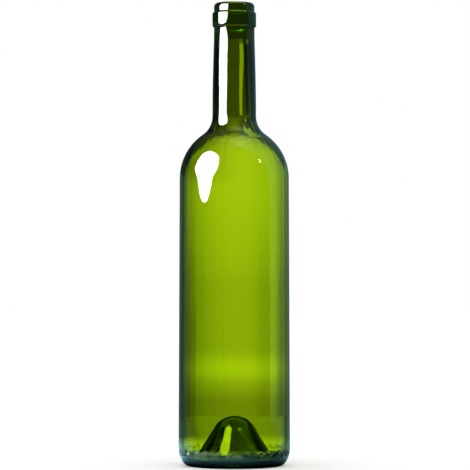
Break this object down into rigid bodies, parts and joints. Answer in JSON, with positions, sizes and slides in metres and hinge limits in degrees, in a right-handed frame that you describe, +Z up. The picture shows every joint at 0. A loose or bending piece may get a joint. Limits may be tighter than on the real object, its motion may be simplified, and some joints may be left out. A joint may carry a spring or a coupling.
{
  "type": "wine bottle",
  "caption": "Empty uncorked tall green glass wine bottle with a banded cork mouth, slim neck, round shoulder, straight body and a deep punt in its base.",
  "frame": {"origin": "centre of the ring on which the bottle stands", "axes": "+Z up along the bottle's axis, towards its mouth; the bottle is round, so +X and +Y are free"},
  "size_m": [0.0762, 0.0762, 0.3167],
  "materials": {
    "green_glass": "clear olive-green glass, smooth and glossy"
  },
  "bodies": {
    "root": {"bottle": "green_glass"}
  },
  "joints": []
}
